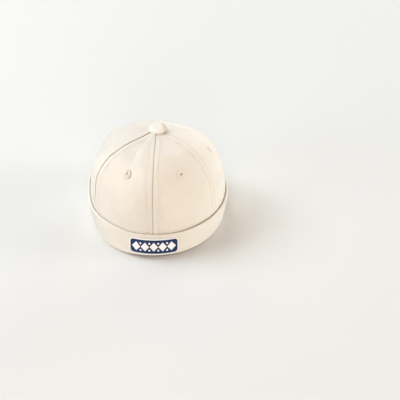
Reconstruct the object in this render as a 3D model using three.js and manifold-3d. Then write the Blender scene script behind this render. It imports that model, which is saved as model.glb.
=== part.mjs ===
// Child's docker cap: a brimless six-panel cotton cap with a turned-up cuff.
// Millimetres, +Z up, the front of the cap faces -Y, and the cuff's rolled
// bottom edge rests on z = 0. Azimuth 0 is the front and +90 is +X (degrees).
import * as THREE from 'three';
import { mergeVertices } from 'three/addons/utils/BufferGeometryUtils.js';
import Module from 'manifold-3d';

// ---------------------------------------------------------------- sizes (mm)
const CROWN_HALF_WIDTH = 79.4;    // outside of the crown at the cuff's rim, along X
const CROWN_HALF_DEPTH = 83.4;    // the same along Y
const CROWN_HEM_HALF_WIDTH = 76.5; // outside of the crown at its bottom edge
const CROWN_HEM_HALF_DEPTH = 84.4;
const CROWN_HEM_Z = 10.3;         // bottom edge of the six panels
const CROWN_BELLY_Z = 19.0;       // height where the dome starts to close
const CROWN_TOP_Z = 112.5;        // dome height without its peak
const CROWN_PLAN_POWER = 2.82;    // how boxy the dome is, outwards
const CROWN_RISE_POWER = 3.02;    // how boxy the dome is, upwards
const CROWN_PEAK = 2.7;           // the panels' points rise to the button
const CROWN_PEAK_REACH = 0.14;    // as a share of the crown's radius
const CROWN_LEAN_X = 1.1;         // the top sits a little to +X
const PANEL_WALL = 1.5;           // outer cloth with the seam tape behind it
const PANEL_RIDGE = 0.6;          // the seams stand out, the panels lie flatter
const SEAM_GAP = 0.32;            // clear gap between two panels
const PANEL_TIP_RADIUS = 4.2;     // the panels' points stop here, under the button
const PANEL_COLUMNS = 12;

const CUFF_RIM_HALF_WIDTH = 83.2; // outside of the turned-up edge
const CUFF_RIM_HALF_DEPTH = 87.1;
const CUFF_BASE_HALF_WIDTH = 79.0; // outside of the rolled bottom edge
const CUFF_BASE_HALF_DEPTH = 88.0;
const CUFF_RIM_Z = 32.0;          // mean height of the cuff
const CUFF_RIM_TILT = 3.3;        // front lower, back higher, by this much
const CUFF_WALL = 2.6;            // doubled cloth
const CUFF_LEG_WALL = 1.5;        // the body cloth inside the fold
const CUFF_SLOT_Z = 3.4;          // bottom of the fold's inner groove
const CUFF_LEG_Z = 10.0;          // where the leg meets the panels' hem
const CUFF_STEPS = 60;

const EYELET_T = 0.49;            // place of the eyelets on the dome's profile
const EYELET_RADIUS = 4.8;
const EYELET_HOLE_RADIUS = 1.6;
const EYELET_PROUD = 0.55;        // thread ring above and below the cloth
const EYELET_CLEARANCE = 0.3;
const EYELET_SIDES = 14;

const BUTTON_RADIUS = 10.6;
const BUTTON_HEIGHT = 4.2;        // above the panels' points
const BUTTON_LEAN_X = 1.2;        // sewn on a little off the middle
const BUTTON_STEM_RADIUS = 2.0;
const BUTTON_GAP = 0.35;
const BUTTON_TILT = 6;            // degrees: its +X side is up, its -X side sits deeper
const BUTTON_RAISE = 0.75;
const BUTTON_BEND = 0.034;       // its +X end bends down, from here on
const BUTTON_BEND_FROM = 2.0;

const PATCH_WIDTH = 57.6;
const PATCH_HEIGHT = 18.0;
const PATCH_THICKNESS = 1.0;
const PATCH_CENTRE_Z = 15.4;
const PATCH_CENTRE_X = 1.0;
const PATCH_CORNER = 4.4;
const PATCH_GAP = 0.3;

const FRAME_SHIFT = { x: 0.6943, y: 2.8732 }; // puts the middle of the whole cap's box on the Z axis

// Cuff by azimuth: how far its rim, its base and the panels' hem inside it stand
// out from the plain ovals, how far its rolled edge is off the ground, and how much
// thicker its turned-in rim is.
const CUFF_SHAPE = [
  { az: -180, rim: 0.0, base: 0.0, hem: 0.0, lift: 0.0, thick: 0.0 },
  { az: -140, rim: 0.5, base: 0.0, hem: 0.0, lift: 0.0, thick: 0.1 },
  { az: -113, rim: 3.8, base: 0.5, hem: 0.0, lift: 0.0, thick: 0.2 },
  { az: -104, rim: 3.8, base: 0.3, hem: -0.2, lift: 0.0, thick: 0.0 }, // the cuff gapes a little behind the left side
  { az: -96, rim: 1.4, base: -0.3, hem: -0.4, lift: 0.0, thick: 0.0 },
  { az: -88, rim: -0.4, base: -0.5, hem: -0.5, lift: 0.0, thick: 0.0 },
  { az: -74, rim: -0.7, base: -0.9, hem: -1.0, lift: 0.0, thick: 0.3 },
  { az: -62, rim: -0.2, base: -0.7, hem: -1.1, lift: 0.0, thick: 0.3 }, // corner where the left seam runs into the cuff
  { az: -50, rim: -0.3, base: 0.9, hem: 0.0, lift: 0.0, thick: 0.6 },
  { az: -33, rim: -0.5, base: 2.7, hem: 1.0, lift: 0.3, thick: 0.5 },
  { az: -20, rim: -0.5, base: 3.7, hem: 0.9, lift: 1.7, thick: 0.2 },
  { az: -5, rim: -0.3, base: 4.3, hem: -0.3, lift: 3.6, thick: 0.0 },
  { az: 8, rim: -0.2, base: 4.2, hem: -0.7, lift: 4.0, thick: 0.0 },
  { az: 20, rim: -0.4, base: 3.3, hem: -0.6, lift: 3.3, thick: 0.0 },
  { az: 30, rim: -0.3, base: 1.9, hem: -0.5, lift: 2.3, thick: 0.1 }, // soft corner beside the badge
  { az: 45, rim: 0.0, base: 0.4, hem: -0.4, lift: 1.2, thick: 0.2 },
  { az: 62, rim: -0.2, base: -0.4, hem: -0.3, lift: 0.5, thick: 0.2 },
  { az: 74, rim: 0.0, base: -0.2, hem: 0.2, lift: 0.0, thick: 0.2 },
  { az: 88, rim: 0.1, base: -0.1, hem: 0.7, lift: 0.0, thick: 0.2 },
  { az: 110, rim: -0.2, base: 0.0, hem: 0.4, lift: 0.0, thick: 0.1 },
  { az: 150, rim: -0.1, base: 0.0, hem: 0.0, lift: 0.0, thick: 0.0 },
];

// Soft folds and dents of the crown: where (azimuth, place on the profile from
// 0 at the belly to 1 at the top), how wide, and how deep (out is positive).
const CROWN_FOLDS = [
  { name: 'back_right_slump', az: 150, t: 0.60, spread_az: 60, spread_t: 0.30, out: -8.4 },
  { name: 'left_shoulder', az: -85, t: 0.60, spread_az: 55, spread_t: 0.28, out: -1.6 },
  { name: 'back_left_shoulder', az: -150, t: 0.60, spread_az: 60, spread_t: 0.30, out: -1.9 },
  { name: 'front_left_pucker', az: -42, t: 0.80, spread_az: 13, spread_t: 0.13, out: -1.5 },
  { name: 'front_left_crest', az: -20, t: 0.78, spread_az: 9, spread_t: 0.16, out: 0.9 },
  { name: 'front_right_shoulder', az: 26, t: 0.71, spread_az: 18, spread_t: 0.09, out: 2.6 },
  { name: 'front_right_dent', az: 27, t: 0.30, spread_az: 20, spread_t: 0.17, out: -3.0 },
  { name: 'front_right_valley', az: 50, t: 0.60, spread_az: 9, spread_t: 0.15, out: -1.0 },
  { name: 'left_seam_shoulder', az: -58, t: 0.82, spread_az: 15, spread_t: 0.20, out: -2.0 },
  { name: 'left_seam_ridge', az: -62, t: 0.36, spread_az: 13, spread_t: 0.30, out: 2.0 },
  { name: 'front_left_valley', az: -36, t: 0.45, spread_az: 14, spread_t: 0.32, out: -1.9 },
  { name: 'right_bulge', az: 90, t: 0.08, spread_az: 26, spread_t: 0.16, out: 0.9 },
];

// Rows of a panel, from the hem to the point. z rows lie below the belly.
const PANEL_ROWS = [
  { z: CROWN_HEM_Z }, { z: 14.6 },
  { t: 0.0 }, { t: 0.09 }, { t: 0.18 }, { t: 0.27 }, { t: 0.36 }, { t: 0.45 },
  { t: 0.54 }, { t: 0.62 }, { t: 0.70 }, { t: 0.78 }, { t: 0.85 }, { t: 0.91 },
  { t: 0.955 }, { radius: PANEL_TIP_RADIUS },
];

const PANELS = [
  { name: 'panel_front_left', from: -60, eyelet: -28.9 },
  { name: 'panel_front_right', from: 0, eyelet: 29.5 },
  { name: 'panel_side_right', from: 60, eyelet: 86 },
  { name: 'panel_back_right', from: 120, eyelet: 150 },
  { name: 'panel_back_left', from: 180, eyelet: 210 },
  { name: 'panel_side_left', from: 240, eyelet: 277 },
];

const COTTON = { color: 0xf1e5d2, roughness: 0.9, metalness: 0 };
const THREAD = { color: 0xe6d9c4, roughness: 0.8, metalness: 0 };
const BADGE = { color: 0x24458f, roughness: 0.75, metalness: 0 };

// ------------------------------------------------------------------- helpers
const rad = (d) => (d * Math.PI) / 180;
const wrap = (d) => ((((d + 180) % 360) + 360) % 360) - 180;
const mix = (a, b, k) => a + (b - a) * k;

// Smooth periodic reading of a table by azimuth.
function readTable(table, key, az) {
  const a = wrap(az);
  const n = table.length;
  let i = n - 1;
  while (i > 0 && table[i].az > a) i -= 1;
  const row = (k) => {
    const turn = Math.floor(k / n);
    const r = table[((k % n) + n) % n];
    return { x: r.az + 360 * turn, y: r[key] };
  };
  const p0 = row(i - 1), p1 = row(i), p2 = row(i + 1), p3 = row(i + 2);
  const h = p2.x - p1.x, s = (a - p1.x) / h;
  const m1 = ((p2.y - p0.y) / (p2.x - p0.x)) * h;
  const m2 = ((p3.y - p1.y) / (p3.x - p1.x)) * h;
  const s2 = s * s, s3 = s2 * s;
  return (2 * s3 - 3 * s2 + 1) * p1.y + (s3 - 2 * s2 + s) * m1
    + (-2 * s3 + 3 * s2) * p2.y + (s3 - s2) * m2;
}

// Outside of the crown. az in degrees, row is { z }, { t } or { radius }.
function crownPoint(az, row) {
  const a = rad(az), sin = Math.sin(a), cos = Math.cos(a);
  let t = row.t ?? 0;
  if (row.radius !== undefined) {
    const c = (row.radius / CROWN_HALF_WIDTH) ** (CROWN_PLAN_POWER / 2);
    t = Math.acos(Math.min(c, 1)) / (Math.PI / 2);
  }
  const u = (t * Math.PI) / 2;
  const r = Math.max(Math.cos(u), 0) ** (2 / CROWN_PLAN_POWER);
  const lift = Math.sin(u) ** (2 / CROWN_RISE_POWER);
  let z = CROWN_BELLY_Z + (CROWN_TOP_Z - CROWN_BELLY_Z) * lift
    + CROWN_PEAK * Math.exp(-((r / CROWN_PEAK_REACH) ** 2));
  if (row.z !== undefined) z = row.z;
  // below the rim the crown draws in to its hem
  const low = THREE.MathUtils.clamp((CUFF_RIM_Z - z) / (CUFF_RIM_Z - CROWN_HEM_Z), 0, 1);
  const halfWidth = mix(CROWN_HALF_WIDTH, CROWN_HEM_HALF_WIDTH, low);
  const halfDepth = mix(CROWN_HALF_DEPTH, CROWN_HEM_HALF_DEPTH, low);
  const hem = readTable(CUFF_SHAPE, 'hem', az) * low;
  let out = hem;
  const ridge = Math.sin(Math.min(t * 1.15, 1) * Math.PI);
  out += PANEL_RIDGE * Math.cos(6 * a) * ridge;
  for (const f of CROWN_FOLDS) {
    const d = wrap(az - f.az) / f.spread_az, e = (t - f.t) / f.spread_t;
    if (row.z === undefined) out += f.out * Math.exp(-d * d - e * e);
    else out += f.out * Math.exp(-d * d - (f.t / f.spread_t) ** 2) * (z / CROWN_BELLY_Z);
  }
  const up = row.z === undefined ? Math.sin(u) : 0;
  const flat = row.z === undefined ? Math.cos(u) : 1;
  return new THREE.Vector3(
    halfWidth * r * sin + CROWN_LEAN_X * lift * lift + out * flat * sin,
    -halfDepth * r * cos - out * flat * cos,
    z + out * up,
  );
}

// The row a little above or below another, for the surface's slope.
function nudge(row, k) {
  if (row.z !== undefined) return { z: row.z + 0.3 * k };
  if (row.radius !== undefined) return { radius: row.radius - 0.3 * k };
  return { t: THREE.MathUtils.clamp(row.t + 0.004 * k, 0, 0.9995) };
}

function crownNormal(az, row) {
  const e = row.radius !== undefined ? 4 : 0.5;
  const across = crownPoint(az + e, row).sub(crownPoint(az - e, row));
  const along = crownPoint(az, nudge(row, 1)).sub(crownPoint(az, nudge(row, -1)));
  return across.cross(along).normalize();
}

function solid(positions, triangles) {
  const g = new THREE.BufferGeometry();
  g.setAttribute('position', new THREE.Float32BufferAttribute(positions, 3));
  g.setIndex(triangles);
  let volume = 0;
  const v = (i) => new THREE.Vector3().fromArray(positions, 3 * i);
  for (let i = 0; i < triangles.length; i += 3) {
    volume += v(triangles[i]).dot(v(triangles[i + 1]).cross(v(triangles[i + 2])));
  }
  if (volume < 0) {
    for (let i = 0; i < triangles.length; i += 3) {
      [triangles[i + 1], triangles[i + 2]] = [triangles[i + 2], triangles[i + 1]];
    }
    g.setIndex(triangles);
  }
  return g;
}

// A closed plate from two matching grids of points, outer and inner.
function plate(outer, inner) {
  const rows = outer.length, cols = outer[0].length, n = rows * cols;
  const positions = [], triangles = [];
  for (const side of [outer, inner]) for (const line of side) for (const p of line) positions.push(p.x, p.y, p.z);
  const at = (side, i, j) => side * n + i * cols + j;
  const quad = (a, b, c, d) => triangles.push(a, b, c, a, c, d);
  for (let i = 0; i < rows - 1; i += 1) {
    for (let j = 0; j < cols - 1; j += 1) {
      quad(at(0, i, j), at(0, i, j + 1), at(0, i + 1, j + 1), at(0, i + 1, j));
      quad(at(1, i, j), at(1, i + 1, j), at(1, i + 1, j + 1), at(1, i, j + 1));
    }
  }
  for (let j = 0; j < cols - 1; j += 1) {
    quad(at(0, 0, j), at(1, 0, j), at(1, 0, j + 1), at(0, 0, j + 1));
    quad(at(0, rows - 1, j), at(0, rows - 1, j + 1), at(1, rows - 1, j + 1), at(1, rows - 1, j));
  }
  for (let i = 0; i < rows - 1; i += 1) {
    quad(at(0, i, 0), at(0, i + 1, 0), at(1, i + 1, 0), at(1, i, 0));
    quad(at(0, i, cols - 1), at(1, i, cols - 1), at(1, i + 1, cols - 1), at(0, i + 1, cols - 1));
  }
  return solid(positions, triangles);
}

// A closed ring: the same section of points at each step round the cap.
function ring(steps, section) {
  const positions = [], triangles = [];
  let m = 0;
  for (let i = 0; i < steps; i += 1) {
    const pts = section((360 * i) / steps - 180);
    m = pts.length;
    for (const p of pts) positions.push(p.x, p.y, p.z);
  }
  for (let i = 0; i < steps; i += 1) {
    const k = (i + 1) % steps;
    for (let j = 0; j < m; j += 1) {
      const l = (j + 1) % m;
      triangles.push(i * m + j, k * m + j, k * m + l, i * m + j, k * m + l, i * m + l);
    }
  }
  return solid(positions, triangles);
}

const wasm = await Module();
wasm.setup();

function toManifold(geometry, matrix) {
  let g = geometry.clone();
  g.deleteAttribute('normal');
  g.deleteAttribute('uv');
  g = mergeVertices(g, 1e-4);
  if (matrix) g.applyMatrix4(matrix);
  return new wasm.Manifold(new wasm.Mesh({
    numProp: 3,
    vertProperties: Float32Array.from(g.attributes.position.array),
    triVerts: Uint32Array.from(g.index.array),
  }));
}

function fromManifold(m) {
  const mesh = m.getMesh();
  const g = new THREE.BufferGeometry();
  g.setAttribute('position', new THREE.Float32BufferAttribute(Float32Array.from(mesh.vertProperties), 3));
  g.setIndex(Array.from(mesh.triVerts));
  return g;
}

const group = new THREE.Group();
group.name = 'docker_cap';
function add(name, geometry, look) {
  geometry.computeVertexNormals();
  const mesh = new THREE.Mesh(geometry, new THREE.MeshStandardMaterial(look));
  mesh.name = name;
  group.add(mesh);
  return mesh;
}

// ------------------------------------------------- six panels and the eyelets
function panelGeometry(from) {
  const outer = [], inner = [];
  for (const row of PANEL_ROWS) {
    const lineOut = [], lineIn = [];
    const middle = crownPoint(from + 30, row);
    const radius = Math.hypot(middle.x, middle.y);
    const inset = THREE.MathUtils.radToDeg(Math.asin(Math.min(SEAM_GAP / 2 / radius, 0.5)));
    for (let j = 0; j <= PANEL_COLUMNS; j += 1) {
      const az = mix(from + inset, from + 60 - inset, j / PANEL_COLUMNS);
      const p = crownPoint(az, row);
      lineOut.push(p);
      const n = crownNormal(az, row);
      if (row.z !== undefined) { n.z = 0; n.normalize(); }
      lineIn.push(p.clone().addScaledVector(n, -PANEL_WALL));
    }
    outer.push(lineOut);
    inner.push(lineIn);
  }
  return plate(outer, inner);
}

const eyeletRow = { t: EYELET_T };
for (const panel of PANELS) {
  const az = panel.eyelet;
  const centre = crownPoint(az, eyeletRow);
  const normal = crownNormal(az, eyeletRow);
  const turn = new THREE.Quaternion().setFromUnitVectors(new THREE.Vector3(0, 1, 0), normal);
  const place = new THREE.Matrix4().compose(centre, turn, new THREE.Vector3(1, 1, 1));
  const cutter = new THREE.CylinderGeometry(
    EYELET_RADIUS + EYELET_CLEARANCE, EYELET_RADIUS + EYELET_CLEARANCE, 12, EYELET_SIDES,
  );
  const cut = toManifold(panelGeometry(panel.from)).subtract(toManifold(cutter, place));
  add(panel.name, fromManifold(cut), COTTON);

  const top = EYELET_PROUD, low = -PANEL_WALL - EYELET_PROUD, round = 0.7;
  const profile = [
    [EYELET_HOLE_RADIUS + round, low], [EYELET_RADIUS - round, low], [EYELET_RADIUS, low + round],
    [EYELET_RADIUS, top - round], [EYELET_RADIUS - round, top], [EYELET_HOLE_RADIUS + round, top],
    [EYELET_HOLE_RADIUS, top - round], [EYELET_HOLE_RADIUS + round, low],
  ].map(([x, y]) => new THREE.Vector2(x, y));
  const eyelet = add(
    panel.name.replace('panel_', 'eyelet_'),
    new THREE.LatheGeometry(profile, EYELET_SIDES), THREAD,
  );
  eyelet.position.copy(centre);
  eyelet.quaternion.copy(turn);
}

// ------------------------------------------------------------------ the cuff
function cuffRimZ(az) {
  return CUFF_RIM_Z - CUFF_RIM_TILT * Math.cos(rad(az));
}

// How far the rolled edge is off the ground: the front doesn't quite touch it.
function cuffLift(az) {
  return Math.max(readTable(CUFF_SHAPE, 'lift', az), 0);
}

// Outside of the turned-up wall; k runs from 0 at the base to 1 at the rim.
function cuffPoint(az, k, inward, z) {
  const a = rad(az);
  const out = mix(readTable(CUFF_SHAPE, 'base', az), readTable(CUFF_SHAPE, 'rim', az), k) - inward
    + 0.35 * Math.sin(Math.PI * k);
  const halfWidth = mix(CUFF_BASE_HALF_WIDTH, CUFF_RIM_HALF_WIDTH, k);
  const halfDepth = mix(CUFF_BASE_HALF_DEPTH, CUFF_RIM_HALF_DEPTH, k);
  return new THREE.Vector3((halfWidth + out) * Math.sin(a), -(halfDepth + out) * Math.cos(a), z);
}

function cuffSection(az) {
  const rim = cuffRimZ(az);
  const a = rad(az);
  const hemOut = readTable(CUFF_SHAPE, 'hem', az);
  const lift = cuffLift(az);
  const thick = Math.max(readTable(CUFF_SHAPE, 'thick', az), 0);
  const leg = (inward, z) => new THREE.Vector3(
    (CROWN_HEM_HALF_WIDTH + hemOut - inward) * Math.sin(a),
    -(CROWN_HEM_HALF_DEPTH + hemOut - inward) * Math.cos(a), z,
  );
  return [
    cuffPoint(az, 0, 1.0, lift),
    cuffPoint(az, 0, 0.25, lift + 0.8),
    cuffPoint(az, 0, 0, lift + 2.4),
    cuffPoint(az, 0.5, 0, (rim + lift) * 0.5),
    cuffPoint(az, 1, 0, rim - 0.9),
    cuffPoint(az, 1, 0.7, rim),
    cuffPoint(az, 1, CUFF_WALL + thick - 0.7, rim),
    cuffPoint(az, 1, CUFF_WALL + thick, rim - 0.9),
    cuffPoint(az, 0.5, CUFF_WALL + thick * 0.5, (rim + lift) * 0.5),
    cuffPoint(az, 0, CUFF_WALL, lift + CUFF_SLOT_Z),
    cuffPoint(az, 0, CUFF_WALL + 0.5, lift + CUFF_SLOT_Z),
    leg(0, CUFF_LEG_Z),
    leg(CUFF_LEG_WALL, CUFF_LEG_Z),
    cuffPoint(az, 0, CUFF_WALL + 0.5 + CUFF_LEG_WALL, lift + 2.0),
    cuffPoint(az, 0, CUFF_WALL + 0.8, lift),
  ];
}
add('cuff', ring(CUFF_STEPS, cuffSection), COTTON);

// ---------------------------------------------------------------- the button
{
  const top = crownPoint(0, { radius: 0.001 });
  const under = (r) => {
    let z = -Infinity;
    for (let az = 0; az < 360; az += 30) {
      z = Math.max(z, crownPoint(az, { radius: Math.max(r, 0.001) }).z);
    }
    return z + BUTTON_GAP;
  };
  const base = under(0);
  const profile = [new THREE.Vector2(0, base + BUTTON_HEIGHT)];
  for (const k of [0.12, 0.35, 0.6, 0.8, 0.93]) {
    const a = (k * Math.PI) / 2;
    profile.push(new THREE.Vector2(
      BUTTON_RADIUS * Math.sin(a) ** 0.72,
      mix(under(BUTTON_RADIUS - BUTTON_LEAN_X) + 0.7, base + BUTTON_HEIGHT, Math.cos(a) ** 0.62),
    ));
  }
  profile.push(new THREE.Vector2(BUTTON_RADIUS, under(BUTTON_RADIUS - BUTTON_LEAN_X) + 0.7));
  for (const r of [BUTTON_RADIUS - 0.7, 7.5, 5.0, BUTTON_STEM_RADIUS + 0.3]) {
    profile.push(new THREE.Vector2(r, under(Math.max(r - BUTTON_LEAN_X - 0.4, 0))));
  }
  profile.push(new THREE.Vector2(BUTTON_STEM_RADIUS, under(4) - 0.6));
  profile.push(new THREE.Vector2(BUTTON_STEM_RADIUS, base - 3.2));
  profile.push(new THREE.Vector2(0, base - 3.2));
  const lathe = new THREE.LatheGeometry(profile.reverse(), 20);
  lathe.rotateX(Math.PI / 2);
  const spots = lathe.getAttribute('position');
  for (let i = 0; i < spots.count; i++) {
    const over = Math.max(spots.getX(i) + 0.25 * spots.getY(i) - BUTTON_BEND_FROM, 0);
    spots.setZ(i, spots.getZ(i) - BUTTON_BEND * over ** 2);
  }
  const button = add('button', lathe, COTTON);
  // tilted about the middle of its underside
  const tilt = rad(BUTTON_TILT);
  button.rotation.y = -tilt;
  button.position.set(
    top.x + BUTTON_LEAN_X + base * Math.sin(tilt), top.y,
    base - base * Math.cos(tilt) + BUTTON_RAISE,
  );
}

// ----------------------------------------------------------------- the badge
{
  const columns = 14;
  const outer = [], inner = [];
  for (const v of [-1, -0.95, -0.84, -0.66, 0, 0.66, 0.84, 0.95, 1]) {
    const lineOut = [], lineIn = [];
    // rounded corners: the rows near the top and bottom are shorter
    const edge = Math.abs(v) * (PATCH_HEIGHT / 2);
    const over = Math.max(edge - (PATCH_HEIGHT / 2 - PATCH_CORNER), 0);
    const cutBack = PATCH_CORNER - Math.sqrt(Math.max(PATCH_CORNER ** 2 - over ** 2, 0.0));
    const half = PATCH_WIDTH / 2 - cutBack;
    for (let j = 0; j <= columns; j += 1) {
      const along = PATCH_CENTRE_X + ((j / columns) * 2 - 1) * half;
      const az = THREE.MathUtils.radToDeg(Math.asin(along / CUFF_BASE_HALF_DEPTH));
      const z = PATCH_CENTRE_Z + v * (PATCH_HEIGHT / 2);
      const low = 2.4 + cuffLift(az);
      const k = THREE.MathUtils.clamp((z - low) / (cuffRimZ(az) - 0.9 - low), 0, 1);
      lineIn.push(cuffPoint(az, k, -PATCH_GAP - 0.12, z));
      lineOut.push(cuffPoint(az, k, -PATCH_GAP - 0.12 - PATCH_THICKNESS, z));
    }
    outer.push(lineOut);
    inner.push(lineIn);
  }
  add('badge', plate(outer, inner), BADGE);
}

group.position.set(FRAME_SHIFT.x, FRAME_SHIFT.y, 0);

export default group;
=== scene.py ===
# Child's docker cap in cream cotton twill, standing on its turned-up cuff.
# Shapes are worked out in millimetres and written in metres, in the row frame.
import math

import bpy
import numpy as np
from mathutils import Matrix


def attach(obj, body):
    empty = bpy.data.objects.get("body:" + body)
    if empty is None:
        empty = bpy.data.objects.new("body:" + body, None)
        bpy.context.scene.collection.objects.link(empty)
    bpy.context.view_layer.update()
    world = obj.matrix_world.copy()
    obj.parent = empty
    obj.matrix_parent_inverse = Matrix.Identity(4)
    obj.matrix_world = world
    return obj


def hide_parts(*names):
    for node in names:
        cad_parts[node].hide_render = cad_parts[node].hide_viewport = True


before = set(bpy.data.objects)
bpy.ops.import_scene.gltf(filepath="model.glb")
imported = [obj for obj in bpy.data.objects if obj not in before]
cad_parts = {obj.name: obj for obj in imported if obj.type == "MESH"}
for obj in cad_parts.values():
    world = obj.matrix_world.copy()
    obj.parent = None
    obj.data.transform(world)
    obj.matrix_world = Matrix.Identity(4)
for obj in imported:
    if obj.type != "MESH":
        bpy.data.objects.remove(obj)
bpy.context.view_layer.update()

# ------------------------------------------------------------------ sizes, mm
CROWN_HALF = (79.4, 83.4)
CROWN_HEM_HALF = (76.5, 84.4)
CROWN_HEM_Z = 10.3
CROWN_BELLY_Z = 19.0
CROWN_TOP_Z = 112.5
CROWN_PLAN_POWER = 2.82
CROWN_RISE_POWER = 3.02
CROWN_PEAK, CROWN_PEAK_REACH = 2.7, 0.14
CROWN_LEAN_X = 1.1
PANEL_RIDGE = 0.6
TIP_RADIUS = 4.2
CLOTH = 0.95          # one layer of the twill
SEAM_CLOTH = 1.5      # cloth, seam allowance and tape at a seam
STITCH_OUT = 6.0      # topstitching beside each seam
CUFF_RIM_HALF = (83.2, 87.1)
CUFF_BASE_HALF = (79.0, 88.0)
CUFF_RIM_Z, CUFF_RIM_TILT = 32.0, 3.3
CUFF_WALL, CUFF_LEG_WALL = 2.6, 1.5
EYELET_T, EYELET_RADIUS, EYELET_HOLE = 0.49, 4.8, 0.75
BUTTON_RADIUS, BUTTON_HEIGHT, BUTTON_LEAN_X = 10.6, 4.2, 1.2
BUTTON_TILT, BUTTON_RAISE, BUTTON_BEND, BUTTON_BEND_FROM = 6.0, 0.75, 0.034, 2.0
BADGE_W, BADGE_H, BADGE_Z, BADGE_X, BADGE_CORNER = 57.6, 18.0, 15.4, 1.0, 4.4
GEM_PITCH, GEM_HALF_W, GEM_HALF_H = 10.4, 4.95, 5.4
SHIFT = np.array([0.6943, 2.8732, 0.0])

CUFF_SHAPE = [  # azimuth; how far the rim, the base and the panels' hem stand out; rolled edge off the ground; thicker rim
    (-180, 0.0, 0.0, 0.0, 0.0, 0.0),
    (-140, 0.5, 0.0, 0.0, 0.0, 0.1),
    (-113, 3.8, 0.5, 0.0, 0.0, 0.2),
    (-104, 3.8, 0.3, -0.2, 0.0, 0.0),
    (-96, 1.4, -0.3, -0.4, 0.0, 0.0),
    (-88, -0.4, -0.5, -0.5, 0.0, 0.0),
    (-74, -0.7, -0.9, -1.0, 0.0, 0.3),
    (-62, -0.2, -0.7, -1.1, 0.0, 0.3),
    (-50, -0.3, 0.9, 0.0, 0.0, 0.6),
    (-33, -0.5, 2.7, 1.0, 0.3, 0.5),
    (-20, -0.5, 3.7, 0.9, 1.7, 0.2),
    (-5, -0.3, 4.3, -0.3, 3.6, 0.0),
    (8, -0.2, 4.2, -0.7, 4.0, 0.0),
    (20, -0.4, 3.3, -0.6, 3.3, 0.0),
    (30, -0.3, 1.9, -0.5, 2.3, 0.1),
    (45, 0.0, 0.4, -0.4, 1.2, 0.2),
    (62, -0.2, -0.4, -0.3, 0.5, 0.2),
    (74, 0.0, -0.2, 0.2, 0.0, 0.2),
    (88, 0.1, -0.1, 0.7, 0.0, 0.2),
    (110, -0.2, 0.0, 0.4, 0.0, 0.1),
    (150, -0.1, 0.0, 0.0, 0.0, 0.0),
]
CROWN_FOLDS = [  # azimuth, place on the profile, spreads of both, out
    (150, 0.60, 60, 0.30, -8.4),
    (-85, 0.60, 55, 0.28, -1.6),
    (-150, 0.60, 60, 0.30, -1.9),
    (-42, 0.80, 13, 0.13, -1.5),
    (-20, 0.78, 9, 0.16, 0.9),
    (26, 0.71, 18, 0.09, 2.6),
    (27, 0.30, 20, 0.17, -3.0),
    (50, 0.60, 9, 0.15, -1.0),
    (-58, 0.82, 15, 0.20, -2.0),
    (-62, 0.36, 13, 0.30, 2.0),
    (-36, 0.45, 14, 0.32, -1.9),
    (90, 0.08, 26, 0.16, 0.9),
]
SEAMS = {  # seam: edge roll, its width, painted shade in it, how far the cloth after it stands below the cloth before it, pull of the topstitching
    -60: (1.2, 0.95, 1.4, 0.40, 0.16), 0: (0.80, 0.80, 0.45, -0.22, 0.36), 60: (0.7, 0.9, 0.35, 0.0, 0.22),
    120: (1.0, 0.95, 0.9, 0.1, 0.24), 180: (1.0, 0.95, 0.9, 0.0, 0.24), -120: (1.0, 0.95, 0.9, -0.1, 0.24),
}
DRAG_LINES = [  # small folds: azimuth and place where they start and end, width in mm, out
    (-30, 0.97, -30, 0.62, 3.2, -1.5),
    (-20, 0.97, -13, 0.50, 3.6, 0.9),
    (-52, 0.76, -30, 0.94, 2.4, -0.9),
    (14, 0.97, 13, 0.62, 2.6, -0.9),
    (20, 0.95, 27, 0.62, 7.0, 0.8),
    (40, 0.66, 58, 0.56, 3.6, -0.9),
    (12, 0.42, 22, 0.30, 5.0, -0.8),
    (66, 0.34, 72, 0.10, 4.0, 0.7),
    (-20, 0.20, -14, 0.02, 6.0, -0.6),
    (-50, 0.16, -34, 0.04, 5.0, 0.6),
]
PANELS = [
    ("panel_front_left", -60, -28.9), ("panel_front_right", 0, 29.5), ("panel_side_right", 60, 86),
    ("panel_back_right", 120, 150), ("panel_back_left", 180, 210), ("panel_side_left", 240, 277),
]


# -------------------------------------------------------------------- helpers
def wrap(d):
    return (np.asarray(d) + 180.0) % 360.0 - 180.0


def step(a, b, x):
    s = np.clip((x - a) / (b - a), 0, 1)
    return s * s * (3 - 2 * s)


def read_table(table, col, az):
    """Smooth periodic reading of a table by azimuth."""
    t = np.array(table, float)
    n = len(t)
    x = np.concatenate([t[-2:, 0] - 360, t[:, 0], t[:3, 0] + 360])
    y = np.concatenate([t[-2:, col], t[:, col], t[:3, col]])
    a = wrap(az)
    i = np.clip(np.searchsorted(x, a, side="right") - 1, 1, n + 2)
    h = x[i + 1] - x[i]
    s = (a - x[i]) / h
    m1 = (y[i + 1] - y[i - 1]) / (x[i + 1] - x[i - 1]) * h
    m2 = (y[i + 2] - y[i]) / (x[i + 2] - x[i]) * h
    s2, s3 = s * s, s * s * s
    return (2 * s3 - 3 * s2 + 1) * y[i] + (s3 - 2 * s2 + s) * m1 + (-2 * s3 + 3 * s2) * y[i + 1] + (s3 - s2) * m2


def rumple(seed, lo, hi, count=28):
    """A smooth random field with wavelengths from lo to hi mm, about 1 in size."""
    rng = np.random.RandomState(seed)
    d = rng.normal(size=(count, 3))
    d /= np.linalg.norm(d, axis=1)[:, None]
    lam = np.exp(rng.uniform(np.log(lo), np.log(hi), count))
    k = 2 * np.pi * d / lam[:, None]
    ph = rng.uniform(0, 2 * np.pi, count)
    return lambda p: np.cos(p @ k.T + ph).sum(-1) / math.sqrt(count / 2)


SLACK = rumple(3, 26, 60)
CREASE = rumple(11, 9, 20)
FINE = rumple(29, 2.5, 6)
PUCKER = rumple(41, 5, 9)
DRAG = rumple(57, 7, 15)


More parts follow.
